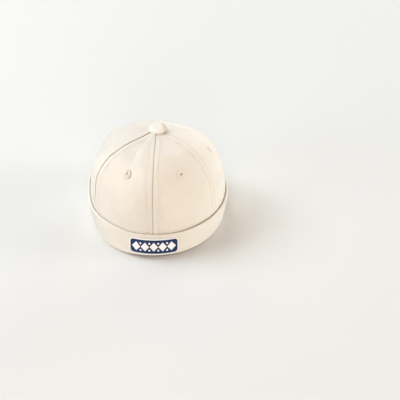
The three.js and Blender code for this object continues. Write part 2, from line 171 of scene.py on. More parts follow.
# ---------------------------------------------------------------- the surface
def crown(az, q):
    """Outside of the crown without its stitching. q runs from -1 at the hem to 0 at the belly and 1 at the top."""
    az, q = np.broadcast_arrays(np.asarray(az, float), np.asarray(q, float))
    a = np.radians(az)
    sin, cos = np.sin(a), np.cos(a)
    t = np.clip(q, 0, 0.99995)
    u = t * np.pi / 2
    r = np.maximum(np.cos(u), 0) ** (2 / CROWN_PLAN_POWER)
    lift = np.sin(u) ** (2 / CROWN_RISE_POWER)
    z = CROWN_BELLY_Z + (CROWN_TOP_Z - CROWN_BELLY_Z) * lift + CROWN_PEAK * np.exp(-((r / CROWN_PEAK_REACH) ** 2))
    zq = CROWN_BELLY_Z + q * (CROWN_BELLY_Z - CROWN_HEM_Z)
    z = np.where(q < 0, zq, z)
    low = np.clip((CUFF_RIM_Z - z) / (CUFF_RIM_Z - CROWN_HEM_Z), 0, 1)
    hw = CROWN_HALF[0] + (CROWN_HEM_HALF[0] - CROWN_HALF[0]) * low
    hd = CROWN_HALF[1] + (CROWN_HEM_HALF[1] - CROWN_HALF[1]) * low
    out = read_table(CUFF_SHAPE, 3, az) * low
    out = out + PANEL_RIDGE * np.cos(6 * a) * np.sin(np.minimum(t * 1.15, 1) * np.pi)
    for faz, ft, saz, st, amount in CROWN_FOLDS:
        d = wrap(az - faz) / saz
        e = (t - ft) / st
        out = out + amount * np.exp(-d * d - e * e) * np.where(q < 0, z / CROWN_BELLY_Z, 1)
    up, flat = np.where(q < 0, 0, np.sin(u)), np.where(q < 0, 1, np.cos(u))
    return np.stack([hw * r * sin + CROWN_LEAN_X * lift * lift + out * flat * sin,
                     -hd * r * cos - out * flat * cos, z + out * up], -1)


def crown_normal(az, q):
    az, q = np.broadcast_arrays(np.asarray(az, float), np.asarray(q, float))
    rad = np.maximum(np.linalg.norm(crown(az, q)[..., :2], axis=-1), 1.0)
    e = np.degrees(0.5 / rad)
    across = crown(az + e, q) - crown(az - e, q)
    h = 0.004
    along = crown(az, np.minimum(q + h, 0.9998)) - crown(az, q - h)
    n = np.cross(across, along)
    return n / np.linalg.norm(n, axis=-1)[..., None]


def q_of_radius(radius):
    return math.acos(min((radius / CROWN_HALF[0]) ** (CROWN_PLAN_POWER / 2), 1)) / (math.pi / 2)


Q_TIP = q_of_radius(TIP_RADIUS)


def q_rows(count):
    """Places along the profile at even distances."""
    q = np.concatenate([np.linspace(-1, 0, 60)[:-1], np.linspace(0, 0.9, 600)[:-1], np.linspace(0.9, Q_TIP, 300)])
    p = crown(np.full_like(q, 25.0), q)
    s = np.concatenate([[0], np.cumsum(np.linalg.norm(np.diff(p, axis=0), axis=1))])
    return np.interp(np.linspace(0, s[-1], count), s, q), s[-1]


def seam_radius(az, q):
    return np.linalg.norm(crown(az, q)[..., :2], axis=-1)


def finish_of(az, q, d, base):
    """How far the sewn surface stands off the plain one: d is the distance to the nearest seam."""
    rad = np.linalg.norm(base[..., :2], axis=-1)
    z = base[..., 2]
    free = step(36, 52, z)                       # clear of the cuff
    inner = step(6.5, 13, rad)
    h = np.zeros_like(d)
    seam = np.round(wrap(az) / 60.0) * 60.0
    seam = np.where(seam == -180, 180, seam)
    side = np.sign(wrap(az - seam))
    roll, edge, _, drop, pull = (seam_value(seam, k) for k in range(5))
    x = np.clip((edge - d) / edge, 0, 1)
    h -= roll * (1 - np.sqrt(np.clip(1 - x * x, 0, 1)))          # the edges turn in at the seam
    h -= side * drop * np.exp(-(d / 3.4) ** 2) * free            # one edge stands over the other
    h += 0.5 * (1 - step(5.2, 7.4, d)) * (0.35 + 0.65 * free)    # seam allowance under the cloth
    h -= pull * np.exp(-((d - STITCH_OUT) / 0.60) ** 2) * inner  # the topstitching draws it down
    near = np.exp(-((d - STITCH_OUT) / 2.6) ** 2)
    h += 0.10 * PUCKER(base) * near * (0.4 + 0.6 * free)
    h += 0.07 * PUCKER(base * 1.7 + 50) * np.exp(-(d / 3.0) ** 2)
    h += 0.38 * SLACK(base) * free * (1 - 0.6 * near)
    h += 0.10 * CREASE(base) * (0.3 + 0.7 * free)
    h += 0.018 * FINE(base)
    for start, end, width, amount in DRAG_ENDS:
        along = end - start
        s = ((base - start) @ along) / (along @ along)
        off = np.linalg.norm(base - (start + np.clip(s, 0, 1)[..., None] * along), axis=-1)
        h += amount * np.sin(math.pi * np.clip(s, 0, 1)) ** 0.8 * np.exp(-(off / width) ** 2)
    return h


def seam_value(seam, k):
    out = np.zeros_like(seam)
    for key, row in SEAMS.items():
        out = np.where(seam == key, row[k], out)
    return out


DRAG_ENDS = [(crown(a0, q0), crown(a1, q1), width, amount) for a0, q0, a1, q1, width, amount in DRAG_LINES]


def eyelet_place(az):
    return crown(az, EYELET_T), crown_normal(az, EYELET_T)


# -------------------------------------------------------------- mesh writing
def make_object(name, verts, faces, uv=None, attrs=None, smooth=True, corner_uv=None):
    """verts in mm; uv and attrs are per vertex; corner_uv per face corner."""
    me = bpy.data.meshes.new(name)
    v = (np.asarray(verts, float) + SHIFT) / 1000.0
    me.from_pydata(v.tolist(), [], [list(f) for f in faces])
    me.update()
    loops = np.empty(len(me.loops), dtype=np.int32)
    me.loops.foreach_get("vertex_index", loops)
    layer = me.uv_layers.new(name="cloth")
    if corner_uv is not None:
        flat = np.asarray(corner_uv, np.float32).reshape(-1)
    elif uv is not None:
        flat = np.asarray(uv, np.float32)[loops].reshape(-1)
    else:
        flat = np.zeros(len(loops) * 2, np.float32)
    layer.data.foreach_set("uv", flat)
    for key, values in (attrs or {}).items():
        at = me.attributes.new(key, "FLOAT", "POINT")
        at.data.foreach_set("value", np.asarray(values, np.float32))
    me.polygons.foreach_set("use_smooth", np.ones(len(me.polygons), bool) if smooth else np.zeros(len(me.polygons), bool))
    ob = bpy.data.objects.new(name, me)
    bpy.context.scene.collection.objects.link(ob)
    return ob


def ride(ob, slot, *nodes):
    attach(ob, "root")
    if nodes:
        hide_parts(*nodes)
    return ob


# ------------------------------------------------------------------ materials
def nodes_of(name):
    m = bpy.data.materials.new(name)
    m.use_nodes = True
    nt = m.node_tree
    nt.nodes.clear()
    out = nt.nodes.new("ShaderNodeOutputMaterial")
    p = nt.nodes.new("ShaderNodeBsdfPrincipled")
    nt.links.new(p.outputs[0], out.inputs[0])
    return m, nt, p


class Graph:
    def __init__(self, nt):
        self.nt = nt

    def put(self, socket, value):
        if isinstance(value, bpy.types.NodeSocket):
            self.nt.links.new(value, socket)
        else:
            socket.default_value = value

    def math(self, op, a, b=0.0, c=None):
        n = self.nt.nodes.new("ShaderNodeMath")
        n.operation = op
        self.put(n.inputs[0], a)
        self.put(n.inputs[1], b)
        if c is not None:
            self.put(n.inputs[2], c)
        return n.outputs[0]

    def uv(self):
        n = self.nt.nodes.new("ShaderNodeUVMap")
        n.uv_map = "cloth"
        s = self.nt.nodes.new("ShaderNodeSeparateXYZ")
        self.nt.links.new(n.outputs[0], s.inputs[0])
        return n.outputs[0], s.outputs[0], s.outputs[1]

    def attr(self, name):
        n = self.nt.nodes.new("ShaderNodeAttribute")
        n.attribute_name = name
        return n.outputs["Fac"]

    def combine(self, x, y, z=0.0):
        n = self.nt.nodes.new("ShaderNodeCombineXYZ")
        for s, v in zip(n.inputs, (x, y, z)):
            self.put(s, v)
        return n.outputs[0]

    def noise(self, vector, scale, detail=2.0, rough=0.5):
        n = self.nt.nodes.new("ShaderNodeTexNoise")
        self.put(n.inputs["Vector"], vector)
        n.inputs["Scale"].default_value = scale
        n.inputs["Detail"].default_value = detail
        n.inputs["Roughness"].default_value = rough
        return n.outputs["Fac"]

    def position(self):
        n = self.nt.nodes.new("ShaderNodeTexCoord")
        return n.outputs["Object"]

    def ramp(self, fac, stops):
        n = self.nt.nodes.new("ShaderNodeValToRGB")
        r = n.color_ramp
        while len(r.elements) < len(stops):
            r.elements.new(0.5)
        for e, (pos, col) in zip(r.elements, stops):
            e.position = pos
            e.color = (*col, 1)
        self.put(n.inputs[0], fac)
        return n.outputs[0]

    def mix(self, fac, a, b, blend="MIX"):
        n = self.nt.nodes.new("ShaderNodeMix")
        n.data_type = "RGBA"
        n.blend_type = blend
        self.put(n.inputs[0], fac)
        for socket, value in ((n.inputs[6], a), (n.inputs[7], b)):
            self.put(socket, value if isinstance(value, bpy.types.NodeSocket) else (*value, 1))
        return n.outputs[2]

    def bump(self, height, strength, distance, normal=None):
        n = self.nt.nodes.new("ShaderNodeBump")
        n.inputs["Strength"].default_value = strength
        n.inputs["Distance"].default_value = distance
        self.put(n.inputs["Height"], height)
        if normal is not None:
            self.put(n.inputs["Normal"], normal)
        return n.outputs[0]


CREAM = (0.699, 0.661, 0.586)
CREAM_DEEP = (0.665, 0.620, 0.536)
CREAM_PALE = (0.730, 0.702, 0.640)


def cotton_twill():
    m, nt, p = nodes_of("cotton_twill")
    g = Graph(nt)
    vec, u, v = g.uv()
    # warp and weft in mm; the twill's ribs climb across them
    rib = g.math("SINE", g.math("MULTIPLY", g.math("ADD", u, g.math("MULTIPLY", v, 0.84)), 2 * math.pi / 0.78))
    warp = g.math("SINE", g.math("MULTIPLY", u, 2 * math.pi / 0.39))
    weft = g.math("SINE", g.math("MULTIPLY", v, 2 * math.pi / 0.46))
    weave = g.math("ADD", g.math("MULTIPLY", rib, 0.55), g.math("MULTIPLY", g.math("MULTIPLY", warp, weft), 0.3))
    slub_u = g.noise(g.combine(g.math("MULTIPLY", u, 2.4), g.math("MULTIPLY", v, 0.10)), 1.0, 2.0)
    slub_v = g.noise(g.combine(g.math("MULTIPLY", u, 0.12), g.math("MULTIPLY", v, 2.1), 7.0), 1.0, 2.0)
    slub = g.math("ADD", g.math("MULTIPLY", slub_u, 0.6), g.math("MULTIPLY", slub_v, 0.4))
    pos = g.position()
    blotch = g.noise(pos, 38.0, 3.0)
    soft = g.noise(pos, 260.0, 2.0)
    tone = g.mix(g.math("MULTIPLY_ADD", slub, 1.0, -0.10), CREAM_DEEP, CREAM)
    tone = g.mix(g.math("MULTIPLY_ADD", blotch, 1.3, -0.45), tone, CREAM_PALE)
    lines = g.math("MULTIPLY_ADD", weave, 0.030, 0.965)
    tone = g.mix(1.0, tone, g.combine(lines, lines, lines), "MULTIPLY")
    # painted shade darkens the seams, the inside of the cuff and the button's underside and right end; wear pales the
    # folded edges, and a painted highlight pales the rest of the button
    painted_shade = g.attr("painted_shade")
    tone = g.mix(g.math("MULTIPLY", painted_shade, 0.28), tone, (0.50, 0.43, 0.345))
    # paled by wear on the folded edges and by a painted highlight on the button's lit side
    wear_and_highlight = g.attr("wear_and_highlight")
    tone = g.mix(g.math("MULTIPLY", wear_and_highlight, 0.35), tone, (0.79, 0.765, 0.71))
    g.put(p.inputs["Base Color"], tone)
    rough = g.math("MULTIPLY_ADD", soft, 0.10, 0.80)
    g.put(p.inputs["Roughness"], rough)
    p.inputs["Specular IOR Level"].default_value = 0.25
    p.inputs["Sheen Weight"].default_value = 0.18
    p.inputs["Sheen Roughness"].default_value = 0.5
    p.inputs["Sheen Tint"].default_value = (1.0, 0.95, 0.88, 1)
    b1 = g.bump(soft, 0.25, 0.0004)
    b2 = g.bump(slub, 0.35, 0.00018, b1)
    b3 = g.bump(weave, 0.55, 0.00010, b2)
    g.put(p.inputs["Normal"], b3)
    return m


def thread(name, colour, deep):
    """Twisted cotton sewing thread: u runs along it and v round it."""
    m, nt, p = nodes_of(name)
    g = Graph(nt)
    vec, u, v = g.uv()
    ply = g.math("SINE", g.math("MULTIPLY", g.math("ADD", u, g.math("MULTIPLY", v, 0.9)), 2 * math.pi / 0.55))
    fuzz = g.noise(g.position(), 1400.0, 2.0)
    drift = g.noise(g.position(), 90.0, 2.0)
    tone = g.mix(g.math("MULTIPLY_ADD", ply, 0.22, 0.5), deep, colour)
    tone = g.mix(g.math("MULTIPLY_ADD", drift, 0.8, -0.2), tone, colour)
    g.put(p.inputs["Base Color"], tone)
    g.put(p.inputs["Roughness"], g.math("MULTIPLY_ADD", fuzz, 0.2, 0.55))
    p.inputs["Specular IOR Level"].default_value = 0.35
    p.inputs["Sheen Weight"].default_value = 0.12
    b = g.bump(fuzz, 0.3, 0.00006)
    g.put(p.inputs["Normal"], g.bump(ply, 0.5, 0.00006, b))
    return m


def badge_material():
    """Blue and white embroidery: u is the distance along the stitches' rows, v the distance across them."""
    m, nt, p = nodes_of("badge_embroidery")
    g = Graph(nt)
    vec, u, v = g.uv()
    ink = g.attr("ink")
    strand = g.math("SINE", g.math("MULTIPLY", u, 2 * math.pi / 0.42))
    ends = g.math("SINE", g.math("MULTIPLY", g.math("ADD", v, g.math("MULTIPLY", u, 1.7)), 2 * math.pi / 3.2))
    fuzz = g.noise(g.position(), 1500.0, 2.0)
    drift = g.noise(g.position(), 120.0, 2.0)
    blue = g.mix(drift, (0.009, 0.025, 0.078), (0.013, 0.034, 0.100))
    blue = g.mix(g.math("MULTIPLY_ADD", strand, 0.25, 0.25), blue, (0.018, 0.045, 0.132))
    white = g.mix(drift, (0.80, 0.80, 0.80), (0.90, 0.90, 0.90))
    white = g.mix(g.math("MULTIPLY_ADD", strand, 0.2, 0.2), white, (0.66, 0.67, 0.70))
    g.put(p.inputs["Base Color"], g.mix(ink, blue, white))
    g.put(p.inputs["Roughness"], g.math("MULTIPLY_ADD", fuzz, 0.2, 0.45))
    p.inputs["Specular IOR Level"].default_value = 0.15
    p.inputs["Sheen Weight"].default_value = 0.0
    h = g.math("ADD", g.math("MULTIPLY", strand, 0.5), g.math("MULTIPLY", ends, 0.25))
    g.put(p.inputs["Normal"], g.bump(h, 0.6, 0.00012, g.bump(fuzz, 0.2, 0.00005)))
    return m


TWILL = cotton_twill()
TOPSTITCH = thread("topstitch_thread", (0.735, 0.690, 0.612), (0.665, 0.610, 0.525))
EYELET_THREAD = thread("eyelet_thread", (0.725, 0.680, 0.600), (0.61, 0.55, 0.46))
BADGE_MATERIAL = badge_material()

# ------------------------------------------------------------- crown's panels
NEAR = np.array([0.15, 0.26, 0.42, 0.62, 0.86, 1.15, 1.6, 2.2, 3.0, 3.8, 4.6, 5.15, 5.5, 5.8, 6.0, 6.25, 6.55, 6.95, 7.5, 8.3])
ROWS, PROFILE_LENGTH = q_rows(122)
WIDE = 25


def panel_grid(start):
    """azimuth, q and distance to the seam of each grid point of a panel."""
    sides = []
    for seam in (start, start + 60.0):
        r = seam_radius(seam, ROWS)
        w = r * math.radians(30.0)
        k = np.minimum(1, w / 11.0)
        near = NEAR[None, :] * k[:, None]
        near[:, 0] = 0.16
        rest = near[:, -1:] + (w[:, None] - near[:, -1:]) * (np.arange(1, WIDE + 1) / WIDE)[None, :]
        d = np.concatenate([near, rest], 1)
        sides.append((d, np.degrees(d / r[:, None])))
    (d0, a0), (d1, a1) = sides
    az = np.concatenate([start + a0, (start + 60.0 - a1)[:, ::-1][:, 1:]], 1)
    d = np.concatenate([d0, d1[:, ::-1][:, 1:]], 1)
    side = np.concatenate([-np.ones_like(d0), np.ones_like(d1)[:, 1:]], 1)
    return az, np.repeat(ROWS[:, None], az.shape[1], 1), d, side


def shell(outer, inner, keep):
    """Faces of a closed shell between two grids; keep marks the cells that stay."""
    rows, cols = outer.shape[:2]
    n = rows * cols
    idx = np.arange(n).reshape(rows, cols)
    faces = []
    a, b, c, d = idx[:-1, :-1], idx[:-1, 1:], idx[1:, 1:], idx[1:, :-1]
    k = keep
    faces.append(np.stack([a[k], b[k], c[k], d[k]], -1))
    faces.append(np.stack([a[k] + n, d[k] + n, c[k] + n, b[k] + n], -1))
    pad = np.zeros((rows + 1, cols + 1), bool)
    pad[1:-1, 1:-1] = keep
    walls = []
    # walls wherever a kept cell meets a missing one
    for i in range(rows - 1):
        for j in np.nonzero(keep[i])[0]:
            if not pad[i, j + 1]:
                walls.append((idx[i, j], idx[i, j] + n, idx[i, j + 1] + n, idx[i, j + 1]))
            if not pad[i + 2, j + 1]:
                walls.append((idx[i + 1, j + 1], idx[i + 1, j + 1] + n, idx[i + 1, j] + n, idx[i + 1, j]))
            if not pad[i + 1, j]:
                walls.append((idx[i + 1, j], idx[i + 1, j] + n, idx[i, j] + n, idx[i, j]))
            if not pad[i + 1, j + 2]:
                walls.append((idx[i, j + 1], idx[i, j + 1] + n, idx[i + 1, j + 1] + n, idx[i + 1, j + 1]))
    return np.concatenate(faces + [np.array(walls)], 0)


def drop_unused(verts, faces, *arrays):
    used = np.zeros(len(verts), bool)
    used[faces.reshape(-1)] = True
    new = np.cumsum(used) - 1
    return (verts[used], new[faces]) + tuple(a[used] for a in arrays)


def eyelet_dimple(base, centre):
    rho = np.linalg.norm(base - centre, axis=-1)
    return -0.25 * np.exp(-((rho - 4.6) / 1.6) ** 2), rho


for name, start, eyelet_az in PANELS:
    az, q, d, side = panel_grid(start)
    base = crown(az, q)
    nrm = crown_normal(az, q)
    centre, _ = eyelet_place(eyelet_az)
    dim, rho = eyelet_dimple(base, centre)
    h = finish_of(az, q, d, base) + dim
    outer = base + nrm * h[..., None]
    thick = CLOTH + (SEAM_CLOTH - CLOTH) * (1 - step(5.0, 8.0, d))
    lift = 0.5 * (1 - step(5.2, 7.4, d))
    flatn = nrm.copy()
    flatn[..., 2] = np.where(q < 0, 0, flatn[..., 2])
    flatn /= np.linalg.norm(flatn, axis=-1)[..., None]
    inner = base + flatn * ((h * (1 - np.exp(-(d / 1.2) ** 2)) - lift * 0.6) - thick)[..., None]
    rows, cols = az.shape
    cell = 0.25 * (rho[:-1, :-1] + rho[1:, :-1] + rho[:-1, 1:] + rho[1:, 1:])
    keep = cell > 3.1
    faces = shell(outer, inner, keep)
    verts = np.concatenate([outer.reshape(-1, 3), inner.reshape(-1, 3)])
    s = np.interp(ROWS, ROWS, np.linspace(0, PROFILE_LENGTH, len(ROWS)))
    rr = np.linalg.norm(base[..., :2], axis=-1)
    across = np.radians(az - start - 30.0) * rr
    uv1 = np.stack([across, np.repeat(s[:, None], cols, 1)], -1).reshape(-1, 2)
    uv = np.concatenate([uv1, uv1 * [1, -1] + [400, 0]])
    # painted shade: the seams and the topstitch lines are darkened in the colour where shade falls in them; the seam
    # edges are paled by wear
    seam_shade = seam_value(np.where(np.round(wrap(az) / 60) == -3, 180, np.round(wrap(az) / 60) * 60.0), 2)
    painted_shade = np.exp(-(d / 0.75) ** 2) * seam_shade + 0.12 * np.exp(-((d - STITCH_OUT) / 0.6) ** 2)
    wear_and_highlight = np.exp(-((d - 1.6) / 0.9) ** 2) * 0.5
    zero = np.zeros(painted_shade.size)
    painted_shade = np.concatenate([painted_shade.reshape(-1), zero])
    wear_and_highlight = np.concatenate([wear_and_highlight.reshape(-1), zero])
    verts, faces, uv, painted_shade, wear_and_highlight = drop_unused(verts, faces, uv, painted_shade, wear_and_highlight)
    ob = make_object(name.replace("panel", "twill_panel"), verts, faces.tolist(), uv=uv, attrs={"painted_shade": painted_shade, "wear_and_highlight": wear_and_highlight})
    ob.data.materials.append(TWILL)
    ride(ob, "cotton_twill", name)


# --------------------------------------------------------- tubes and stitches
def tubes(paths, ups, radius, sides=8, squash=1.0):
    """Round tubes with closed ends along many paths of equal length. paths (m, k, 3), ups (m, k, 3), radius (k,)."""
    m, k, _ = paths.shape
    tan = np.gradient(paths, axis=1)
    tan /= np.linalg.norm(tan, axis=-1)[..., None]
    side = np.cross(tan, ups)
    side /= np.linalg.norm(side, axis=-1)[..., None]
    up = np.cross(side, tan)
    ang = np.arange(sides) * 2 * np.pi / sides
    ring = (side[:, :, None, :] * np.cos(ang)[None, None, :, None]
            + up[:, :, None, :] * squash * np.sin(ang)[None, None, :, None]) * radius[None, :, None, None]
    body = paths[:, :, None, :] + ring
    seg = np.linalg.norm(np.diff(paths, axis=1), axis=-1)
    along = np.concatenate([np.zeros((m, 1)), np.cumsum(seg, 1)], 1)
    verts = body.reshape(m, k * sides, 3)
    tips = paths[:, [0, -1], :] + tan[:, [0, -1], :] * np.array([-0.35, 0.35])[None, :, None] * radius[[0, -1]][None, :, None]
    verts = np.concatenate([verts, tips], 1)
    per = k * sides + 2
    faces = []
    i, j = np.meshgrid(np.arange(k - 1), np.arange(sides), indexing="ij")
    a = i * sides + j
    b = i * sides + (j + 1) % sides
    quad = np.stack([a, b, b + sides, a + sides], -1).reshape(-1, 4)
    j = np.arange(sides)
    cap0 = np.stack([np.full(sides, k * sides), (j + 1) % sides, j], -1)
    last = (k - 1) * sides
    cap1 = np.stack([np.full(sides, k * sides + 1), last + j, last + (j + 1) % sides], -1)
    quads = (quad[None] + (np.arange(m) * per)[:, None, None]).reshape(-1, 4)
    tris = (np.concatenate([cap0, cap1])[None] + (np.arange(m) * per)[:, None, None]).reshape(-1, 3)
    u = np.concatenate([np.repeat(along, sides, 1), along[:, [0, -1]]], 1)
    v = np.concatenate([np.tile(np.arange(sides) / sides * 2 * np.pi * radius.max(), (m, k)), np.zeros((m, 2))], 1)
    uv = np.stack([u, v], -1).reshape(-1, 2)
    return verts.reshape(-1, 3), quads.tolist() + tris.tolist(), uv


def stitches_along(points, normals, length=2.55, gap=0.55, thick=0.26, dip=0.36, seed=1):
    """Stitches laid along a curve on the cloth."""
    seg = np.linalg.norm(np.diff(points, axis=0), axis=1)
    s = np.concatenate([[0], np.cumsum(seg)])
    count = int(s[-1] // (length + gap))
    pitch = s[-1] / count
    rng = np.random.RandomState(seed)
    k = 9
    x = np.linspace(0, 1, k)
    starts = np.arange(count) * pitch + gap * 0.5 + rng.uniform(-0.06, 0.06, count)
    pos = starts[:, None] + x[None, :] * (pitch - gap)
    paths = np.stack([np.interp(pos, s, points[:, c]) for c in range(3)], -1)
    ups = np.stack([np.interp(pos, s, normals[:, c]) for c in range(3)], -1)
    ups /= np.linalg.norm(ups, axis=-1)[..., None]
    tan = np.gradient(paths, axis=1)
    tan /= np.linalg.norm(tan, axis=-1)[..., None]
    side = np.cross(tan, ups)
    rise = 0.10 - dip * (np.abs(2 * x - 1) ** 4)
    sway = rng.uniform(-0.10, 0.10, (count, 1)) + rng.uniform(-0.12, 0.12, (count, 1)) * (2 * x[None, :] - 1)
    paths = paths + ups * rise[None, :, None] + side * sway[..., None]
    radius = thick * np.sqrt(np.clip(1 - 0.55 * np.abs(2 * x - 1) ** 6, 0.1, 1))
    return paths, ups, radius


def crown_line(seam, off):
    """The sewn surface along a line beside a seam, off mm from it (signed, towards +azimuth)."""
    q = q_rows(400)[0]
    r = seam_radius(seam, q)
    keepq = r * math.radians(30.0) > abs(off) + 0.6
    q, r = q[keepq], r[keepq]
    az = seam + np.degrees(off / r)
    base = crown(az, q)
    n = crown_normal(az, q)
    h = finish_of(az, q, np.full_like(q, abs(off)), base)
    return base + n * h[:, None], n


all_paths, all_ups = [], []
for i, seam in enumerate(range(0, 360, 60)):
    for off in (-STITCH_OUT, STITCH_OUT):
        pts, nn = crown_line(seam, off)
        paths, ups, radius = stitches_along(pts, nn, seed=10 * i + int(off > 0))
        all_paths.append(paths)
        all_ups.append(ups)
v, f, uv = tubes(np.concatenate(all_paths), np.concatenate(all_ups), radius)
ob = make_object("crown_topstitching", v, f, uv=uv)
ob.data.materials.append(TOPSTITCH)
ride(ob, "cotton_twill")


# ----------------------------------------------------------------------- cuff
def rim_z(az):
    return CUFF_RIM_Z - CUFF_RIM_TILT * np.cos(np.radians(az))


def cuff_lift(az):
    """How far the rolled edge is off the ground: the front doesn't quite touch it."""
    return np.maximum(read_table(CUFF_SHAPE, 4, az), 0)


def cuff_k(az, z):
    low = 2.4 + cuff_lift(az)
    return np.clip((z - low) / (rim_z(az) - 0.9 - low), 0, 1)


def cuff_point(az, k, inward, z):
    a = np.radians(az)
    out = (1 - k) * read_table(CUFF_SHAPE, 2, az) + k * read_table(CUFF_SHAPE, 1, az) - inward + 0.35 * np.sin(np.pi * k)
    hw = CUFF_BASE_HALF[0] + (CUFF_RIM_HALF[0] - CUFF_BASE_HALF[0]) * k
    hd = CUFF_BASE_HALF[1] + (CUFF_RIM_HALF[1] - CUFF_BASE_HALF[1]) * k
    return np.stack([(hw + out) * np.sin(a), -(hd + out) * np.cos(a), z], -1)


def cuff_finish(az, k, z, p):
    """Relief of the cuff's outer wall."""
    h = 0.26 * SLACK(p + 200) * np.sin(np.pi * np.clip(k, 0, 1)) ** 0.7
    skew = p * np.array([1.0, 1.0, 0.55])
    h = h + 0.11 * DRAG(skew) * np.sin(np.pi * np.clip(k, 0, 1))
    h = h + 0.015 * FINE(p)
    back = np.abs(wrap(az - 180)) * math.radians(1) * 88.0
    h = h - 0.55 * np.exp(-(back / 0.5) ** 2)
    return h


def cuff_mesh(steps=720):
    az = np.arange(steps) * 360.0 / steps - 180.0
    rim = rim_z(az)
    hem = read_table(CUFF_SHAPE, 3, az)
    up = cuff_lift(az)
    thick = np.maximum(read_table(CUFF_SHAPE, 5, az), 0)
    a = np.radians(az)
    half = CUFF_WALL / 2
    wave = 0.28 * rumple(77, 18, 46)(cuff_point(az, 1, 0, np.zeros_like(az)))
    rim = rim + wave
    lines, us, wear_and_highlight, painted_shade = [], [], [], []

    def add(p, u, w=0.0, g=0.0):
        lines.append(p)
        us.append(u)
        wear_and_highlight.append(np.full(steps, w))
        painted_shade.append(np.full(steps, g))

    def wall(z, inward, detail):
        k = np.clip((z - 2.4 - up) / (rim - 1.3 - 2.4 - up), 0, 1)
        p = cuff_point(az, k, inward, z)
        h = cuff_finish(az, k, z, cuff_point(az, k, 0, z)) * detail
        return p + np.stack([np.sin(a), -np.cos(a), np.zeros_like(a)], -1) * h[:, None]

    # outer wall, from the rolled edge up
    count = 34
    for i in range(count):
        s = i / (count - 1)
        z = 2.4 + up + (rim - half - 2.4 - up) * s
        down = float(np.mean(rim - z))
        add(wall(z, 0.0, 1.0), z.mean(), 0.25 * math.exp(-((down - 1.4) / 1.0) ** 2))
    for i in range(1, 12):
        f = math.pi * i / 12
        turn = math.copysign(abs(math.cos(f)) ** 0.75, math.cos(f))
        z = rim - half + half * math.sin(f) ** 0.75
        p = wall(np.full_like(rim, 0) + (rim - half), (half + thick / 2) * (1 - turn), 1.0)
        p[:, 2] = z
        add(p, rim.mean() + i * 0.4, 0.7 * math.sin(f))
    # the inside wall of the cuff, down from the rim, darkened by painted shade that deepens towards its bottom
    count = 20
    for i in range(count):
        s = 1 - i / (count - 1)
        z = 3.4 + up + (rim - half - 3.4 - up) * s
        add(wall(z, CUFF_WALL + thick * np.clip(s * 2 - 1, 0, 1), 0.8), rim.mean() + 4 + (1 - s) * 27, 0.0, 0.15 + 0.7 * (1 - s))
    p = cuff_point(az, 0, CUFF_WALL + 0.25, 3.2 + up)
    add(p, 64.0, 0, 0.9)

    def leg(inward, z):
        return np.stack([(CROWN_HEM_HALF[0] + hem - inward) * np.sin(a),
                         -(CROWN_HEM_HALF[1] + hem - inward) * np.cos(a), np.full_like(a, z)], -1)

    foot_out = cuff_point(az, 0, CUFF_WALL + 0.5, 3.4 + up)
    foot_in = cuff_point(az, 0, CUFF_WALL + 0.5 + CUFF_LEG_WALL, 2.0 + up)
    # painted shade on the foot between the cuff and the crown's hem, fading upwards
    for s in (0, 0.33, 0.66, 1.0):
        add(foot_out * (1 - s) + leg(0, 9.7) * s, 66 + 6 * s, 0, 0.8 - 0.4 * s)
    add(leg(0.35, 10.0), 73.0)
    add(leg(1.15, 10.0), 74.0)
    for s in (0, 0.25, 0.5, 0.75):
        add(leg(1.5, 9.7) * (1 - s) + foot_in * s, 75 + 8 * s)
    # rolled bottom edge
    for inward, z, w in ((4.3, 1.05, 0.1), (4.0, 0.5, 0.3), (3.45, 0.14, 0.5), (2.8, 0.02, 0.6), (2.0, 0.0, 0.6), (1.35, 0.05, 0.6),
                         (0.82, 0.25, 0.6), (0.42, 0.66, 0.5), (0.15, 1.2, 0.35), (0.03, 1.8, 0.2)):
        p = cuff_point(az, 0, inward, z + up)
        add(p, 88 + (4.3 - inward), w)
    lines = np.array(lines)
    m = len(lines)
    verts = lines.reshape(-1, 3)
    i, j = np.meshgrid(np.arange(m), np.arange(steps), indexing="ij")
    ni, nj = (i + 1) % m, (j + 1) % steps
    quad = np.stack([i * steps + j, i * steps + nj, ni * steps + nj, ni * steps + j], -1).reshape(-1, 4)
    us = np.array(us)
    us_next = np.concatenate([us[1:], us[-1:] + 0.6])
    arc = np.radians(1) * 83.0
    x0 = np.tile(az * arc, (m, 1))
    x1 = x0 + 360.0 / steps * arc
    cu = np.stack([np.stack([x0, np.repeat(us[:, None], steps, 1)], -1), np.stack([x1, np.repeat(us[:, None], steps, 1)], -1),
                   np.stack([x1, np.repeat(us_next[:, None], steps, 1)], -1), np.stack([x0, np.repeat(us_next[:, None], steps, 1)], -1)], -2)
    return verts, quad, cu.reshape(-1, 2), np.array(painted_shade).reshape(-1), np.array(wear_and_highlight).reshape(-1)


v, f, cu, painted_shade, wear_and_highlight = cuff_mesh()
cuff = make_object("twill_cuff", v, f.tolist(), corner_uv=cu, attrs={"painted_shade": painted_shade, "wear_and_highlight": wear_and_highlight})
cuff.data.materials.append(TWILL)
ride(cuff, "cotton_twill", "cuff")

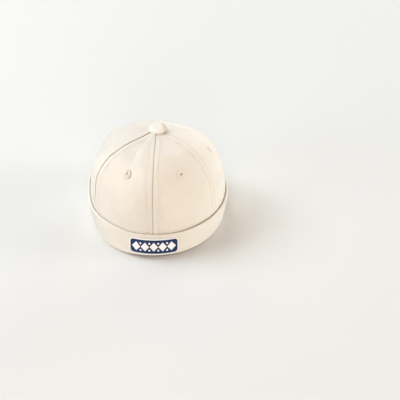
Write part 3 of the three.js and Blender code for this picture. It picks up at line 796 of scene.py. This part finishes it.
# -------------------------------------------------------------------- eyelets
def eyelet_mesh(az, seed):
    centre, normal = eyelet_place(az)
    rng = np.random.RandomState(seed)
    threads = 52
    per = 8
    steps = threads * per
    phi = np.arange(steps) * 2 * np.pi / steps
    ridge = np.abs(np.cos(phi * threads / 2))            # one bump for each thread
    which = (np.arange(steps) // per)
    reach = rng.uniform(-0.28, 0.30, threads)[which]
    lift = rng.uniform(-0.05, 0.05, threads)[which]
    section = []
    # closed section from the hole's inside, over the top, down the outside and back under
    for a in np.linspace(0, 1, 13):                      # top, from the hole outwards
        rr = EYELET_HOLE + (EYELET_RADIUS - EYELET_HOLE) * a
        hh = 0.12 + 0.62 * math.sin(math.pi * min(max(0.12 + 0.80 * a, 0), 1)) ** 0.7
        section.append((rr, hh, a))
    section.append((EYELET_RADIUS + 0.05, 0.02, 1.0))
    for a in np.linspace(1, 0, 9):                       # underside, seen from inside the cap
        rr = EYELET_HOLE + (EYELET_RADIUS - EYELET_HOLE) * a
        hh = -CLOTH - 0.12 - 0.5 * math.sin(math.pi * min(max(0.12 + 0.80 * a, 0), 1)) ** 0.7
        section.append((rr, hh, a))
    for hh in (-0.7, -0.45, -0.2):
        section.append((EYELET_HOLE - 0.10, hh, 0.0))
    ref = np.array([0.0, 0.0, 1.0])
    e1 = np.cross(ref, normal)
    e1 /= np.linalg.norm(e1)
    e2 = np.cross(normal, e1)
    lines = []
    for rr, hh, a in section:
        r = rr + reach * a ** 2 * (0.8 if hh > -0.3 else 0.4)
        outward = 1 if hh > -0.3 else -1
        edge = math.sin(math.pi * min(max(a, 0.0), 1.0) * 0.5 + 0.6)
        h = hh + outward * (0.13 * (ridge - 0.6) + lift * a)
        r = r - 0.07 * (1 - ridge) * (1 - a)
        # the ring follows the curved cloth
        sag = -(r ** 2) / (2 * 75.0)
        lines.append(centre + (e1 * np.cos(phi)[:, None] + e2 * np.sin(phi)[:, None]) * r[:, None] + normal * (h + sag)[:, None])
    lines = np.array(lines)
    m = len(lines)
    i, j = np.meshgrid(np.arange(m), np.arange(steps), indexing="ij")
    ni, nj = (i + 1) % m, (j + 1) % steps
    quad = np.stack([i * steps + j, i * steps + nj, ni * steps + nj, ni * steps + j], -1).reshape(-1, 4)
    uu = np.repeat(np.array([s[0] + (10 if s[1] < -0.3 else 0) for s in section])[:, None], steps, 1)
    vv = np.repeat((phi * 3.2)[None, :], m, 0)
    return lines.reshape(-1, 3), quad[:, ::-1], np.stack([uu, vv], -1).reshape(-1, 2)


for n, (name, start, eyelet_az) in enumerate(PANELS):
    v, f, uv = eyelet_mesh(eyelet_az, 200 + n)
    ob = make_object(name.replace("panel", "stitched_eyelet"), v, f.tolist(), uv=uv)
    ob.data.materials.append(EYELET_THREAD)
    ride(ob, "eyelet_thread", name.replace("panel", "eyelet"))


# --------------------------------------------------------------------- button
def button_mesh():
    top = crown(0.0, 0.99995)
    base_z = CROWN_TOP_Z + CROWN_PEAK + 0.35
    low_z = float(crown(np.arange(0, 360, 30.0), np.full(12, q_of_radius(BUTTON_RADIUS - BUTTON_LEAN_X)))[..., 2].max()) + 0.55
    steps = 240
    phi = np.arange(steps) * 2 * np.pi / steps
    tuck = rumple(5, 0.9, 1.6)(np.stack([np.cos(phi) * 2.2, np.sin(phi) * 2.2, phi * 0], -1))
    prof = []
    for a in np.linspace(0.0, 1.0, 30)[1:]:
        ang = a * math.pi / 2
        prof.append((BUTTON_RADIUS * math.sin(ang) ** 0.72, low_z + (base_z + BUTTON_HEIGHT - low_z) * max(math.cos(ang), 0) ** 0.62, a))
    prof += [(BUTTON_RADIUS - 0.12, low_z - 0.25, 1.0), (BUTTON_RADIUS - 0.5, low_z - 0.38, 1.0), (BUTTON_RADIUS - 1.2, low_z - 0.30, 0.8)]
    def under(r):
        q = q_of_radius(max(r, 0.3))
        return float(crown(np.arange(0, 360, 30.0), np.full(12, q))[..., 2].max()) + 0.35
    for r in (8.0, 6.0, 4.5, 3.2, 2.4):
        prof.append((r, under(max(r - 1.6, 0.3)), 0.3))
    prof += [(1.95, base_z - 1.6, 0.0), (1.9, base_z - 3.0, 0.0), (1.1, base_z - 3.2, 0.0)]
    centre = np.array([top[0] + BUTTON_LEAN_X, top[1], 0.0])
    lines = []
    for r, zz, a in prof:
        w = max(a - 0.45, 0) / 0.55
        rr = r + 0.16 * tuck * w ** 2 * (1 if r > 9 else 0.3)
        lines.append(centre + np.stack([rr * np.cos(phi), rr * np.sin(phi), np.full(steps, zz) - 0.10 * tuck * w ** 2], -1))
    lines = np.array(lines)
    m = len(lines)
    uv = np.concatenate([(lines[..., :2] - centre[:2]).reshape(-1, 2), [[0, 0], [0, 0]]]) * 1.08
    verts = lines.reshape(-1, 3)
    i, j = np.meshgrid(np.arange(m - 1), np.arange(steps), indexing="ij")
    nj = (j + 1) % steps
    quad = np.stack([i * steps + j, (i + 1) * steps + j, (i + 1) * steps + nj, i * steps + nj], -1).reshape(-1, 4).tolist()
    verts = np.concatenate([verts, [[centre[0], centre[1], base_z + BUTTON_HEIGHT], [centre[0], centre[1], base_z - 3.2]]])
    # sewn on with its +X side up, which then bends down
    t = math.radians(BUTTON_TILT)
    at = verts - np.array([centre[0], centre[1], base_z])
    over = np.maximum(at[:, 0] + 0.25 * at[:, 1] - BUTTON_BEND_FROM, 0)
    at[:, 2] -= BUTTON_BEND * over ** 2
    end = step(0.5, 6.5, over)
    verts = np.stack([at[:, 0] * math.cos(t) - at[:, 2] * math.sin(t) + centre[0], at[:, 1] + centre[1],
                      at[:, 0] * math.sin(t) + at[:, 2] * math.cos(t) + base_z + BUTTON_RAISE], -1)
    n0, n1 = m * steps, m * steps + 1
    for j in range(steps):
        k = (j + 1) % steps
        quad.append([n0, j, k])
        quad.append([n1, (m - 1) * steps + k, (m - 1) * steps + j])
    # painted shade under the button's edge and on its underside
    dark = np.array([max(0.0, (p[2] if p[2] < 1 else 1) - 0.9) * 6 if p[0] > 9 else 0.8 for p in prof])
    painted_shade = np.clip(np.concatenate([np.repeat(dark, steps), [0, 0.8]]), 0, 1)
    # painted shade on the button's bent-down right end, and a painted highlight paling the rest of it
    return verts, quad, uv, np.maximum(painted_shade, 3.2 * end), 1.5 * (1 - end)


v, f, uv, painted_shade, wear_and_highlight = button_mesh()
ob = make_object("covered_button", v, f, uv=uv, attrs={"painted_shade": painted_shade, "wear_and_highlight": wear_and_highlight})
ob.data.materials.append(TWILL)
ride(ob, "cotton_twill", "button")


# ---------------------------------------------------------------------- badge
def badge_mesh(cols=330, rows=124):
    """One embroidered plate: a white satin border, a blue field and a row of white diamonds."""
    vv = np.linspace(-1, 1, rows)
    vv = np.sign(vv) * (1 - (1 - np.abs(vv)) ** 1.15)
    y = vv * BADGE_H / 2
    over = np.maximum(np.abs(y) - (BADGE_H / 2 - BADGE_CORNER), 0)
    half = BADGE_W / 2 - (BADGE_CORNER - np.sqrt(np.maximum(BADGE_CORNER ** 2 - over ** 2, 0)))
    s = np.linspace(-1, 1, cols)
    X = half[:, None] * s[None, :]
    Y = np.repeat(y[:, None], cols, 1)
    # distance to the outline of the rounded rectangle
    qx = np.abs(X) - (BADGE_W / 2 - BADGE_CORNER)
    qy = np.abs(Y) - (BADGE_H / 2 - BADGE_CORNER)
    sd = -(np.hypot(np.maximum(qx, 0), np.maximum(qy, 0)) + np.minimum(np.maximum(qx, qy), 0) - BADGE_CORNER)
    border = 1 - step(0.95, 1.15, sd)
    # five diamonds, each of two satin halves, with small dots between them
    gem = np.full(X.shape, 9.0)
    gem_x = np.zeros(X.shape)
    dot_d = np.full(X.shape, 1e9)
    for n in range(-2, 3):
        cx = n * GEM_PITCH
        dd = np.abs(X - cx) / GEM_HALF_W + np.abs(Y) / GEM_HALF_H
        gem_x = np.where(dd < gem, X - cx, gem_x)
        gem = np.minimum(gem, dd)
    for n in range(-2, 2):
        for sign in (-1, 1):
            dot_d = np.minimum(dot_d, np.hypot(X - (n + 0.5) * GEM_PITCH, Y - sign * 4.1))
    gems = 1 - step(0.965, 1.035, gem)
    dots = 1 - step(1.05, 1.25, dot_d)
    ink = np.clip(border + gems + dots, 0, 1)
    height = 0.55 + 0.36 * np.sqrt(np.clip(1 - ((sd - 0.55) / 0.6) ** 2, 0, 1)) * border
    valley = 1 - 0.45 * np.exp(-(gem_x / 0.3) ** 2)
    height += 0.42 * np.sqrt(np.clip(1 - gem ** 2, 0, 1)) * valley * gems
    height += 0.32 * np.sqrt(np.clip(1 - (dot_d / 1.3) ** 2, 0, 1))
    height = np.maximum(height, 0.2)
    around = np.arctan2(Y / BADGE_H, X / BADGE_W) * 22.0
    u = np.where(border > 0.5, around, np.where(gems > 0.5, Y + 0.45 * np.abs(gem_x), np.where(dots > 0.5, X, Y)))
    w = np.where(border > 0.5, sd, np.where(gems > 0.5, gem_x, X))
    ragged = 0.06 * np.sin(2 * np.pi * around / 0.42)
    azb = np.degrees(np.arcsin(np.clip((X + BADGE_X) / CUFF_BASE_HALF[1], -1, 1)))
    zb = BADGE_Z + Y
    kb = cuff_k(azb, zb)
    flat_p = cuff_point(azb, kb, 0, zb)
    relief = np.clip(cuff_finish(azb, kb, zb, flat_p), -0.15, 0.6)
    outer = cuff_point(azb, kb, -0.25 - height - relief, zb)
    inner = cuff_point(azb, kb, -0.12 - relief * 0.9, zb)
    outer[..., 0] += ragged * np.where(sd < 0.25, 1, 0) * np.sign(X)
    faces = shell(outer, inner, np.ones((rows - 1, cols - 1), bool))
    verts = np.concatenate([outer.reshape(-1, 3), inner.reshape(-1, 3)])
    uv = np.stack([u, w], -1).reshape(-1, 2)
    return verts, faces, np.concatenate([uv, uv]), np.concatenate([ink.reshape(-1), np.ones(ink.size)])


v, f, uv, ink = badge_mesh()
badge = make_object("embroidered_badge", v, f.tolist(), uv=uv, attrs={"ink": ink})
badge.data.materials.append(BADGE_MATERIAL)
ride(badge, "badge_embroidery", "badge")

# ---------------------------------------------------------------------- stage
CAMERA_AT = np.array([77.1909, -969.7324, 712.6078]) + SHIFT
FORWARD = np.array([-0.0225097, 0.81206476, -0.58313303])
RIGHT = np.array([0.99961605, 0.02770845, 0.0])
UP = np.cross(RIGHT, FORWARD)
from mathutils import Matrix

cam = bpy.data.cameras.new("camera")
cam.lens, cam.sensor_width = 90.0, 36.0
cam.clip_start, cam.clip_end = 0.05, 60.0
cam_ob = bpy.data.objects.new("camera", cam)
m = Matrix.Identity(4)
for c, axis in enumerate((RIGHT, UP, -FORWARD)):
    for r in range(3):
        m[r][c] = float(axis[r])
for r in range(3):
    m[r][3] = float(CAMERA_AT[r]) / 1000.0
cam_ob.matrix_world = m
bpy.context.scene.collection.objects.link(cam_ob)
bpy.context.scene.camera = cam_ob

me = bpy.data.meshes.new("floor")
S = 6.0
me.from_pydata([(-S, -S, 0), (S, -S, 0), (S, S, 0), (-S, S, 0)], [], [(0, 1, 2, 3)])
floor = bpy.data.objects.new("floor", me)
bpy.context.scene.collection.objects.link(floor)
m, nt, p = nodes_of("pale_floor")
g = Graph(nt)
grain = g.noise(g.position(), 900.0, 2.0)
tone = g.mix(grain, (0.640, 0.645, 0.625), (0.650, 0.655, 0.635))
g.put(p.inputs["Base Color"], tone)
p.inputs["Roughness"].default_value = 0.85
p.inputs["Specular IOR Level"].default_value = 0.2
me.materials.append(m)


def area(name, place, target, size, power, colour):
    li = bpy.data.lights.new(name, "AREA")
    li.shape = "DISK"
    li.size = size
    li.energy = power
    li.color = colour
    ob = bpy.data.objects.new(name, li)
    from mathutils import Vector
    d = Vector(target) - Vector(place)
    ob.rotation_euler = d.to_track_quat("-Z", "Y").to_euler()
    ob.location = place
    ob.visible_camera = False
    bpy.context.scene.collection.objects.link(ob)
    return ob


def from_angles(azimuth, elevation, distance):
    """A place seen from the cap: azimuth 0 is the front (-Y), +90 is +X."""
    a, e = math.radians(azimuth), math.radians(elevation)
    return (distance * math.cos(e) * math.sin(a), -distance * math.cos(e) * math.cos(a), distance * math.sin(e) + 0.05)


LIGHTS = [  # azimuth, elevation, power, colour: soft panels round the table, the brightest on the left and behind
    ("key_left", -98, 45, 27.9, (0.935, 1.0, 1.066)), ("key_left_back", -115, 45, 8.6, (0.70, 1.04, 1.25)),
    ("back_high", -140, 65, 22.4, (0.97, 0.99, 1.04)), ("back_low", -165, 25, 8.9, (1.25, 1.0, 0.75)),
    ("right_back", 150, 10, 27.6, (0.98, 1.005, 1.015)), ("right_low", 90, 10, 52.1, (1.0, 1.0, 1.0)),
    ("left_low", -60, 10, 19.8, (0.915, 0.978, 1.107)), ("front_low", 0, 10, 21.8, (1.125, 0.993, 0.882)),
    ("front", 0, 45, 15.7, (1.313, 0.974, 0.713)),
]
for name, azimuth, elevation, power, colour in LIGHTS:
    area(name, from_angles(azimuth, elevation, 2.4), (0, 0, 0.05), 1.3, power, colour)

world = bpy.data.worlds.new("studio")
bpy.context.scene.world = world
world.use_nodes = True
bg = world.node_tree.nodes["Background"]
bg.inputs[0].default_value = (0.98, 0.99, 1.0, 1)
bg.inputs[1].default_value = 0.004

vs = bpy.context.scene.view_settings
vs.view_transform = "Standard"
vs.look = "None"
vs.exposure = 0.0
vs.gamma = 1.0
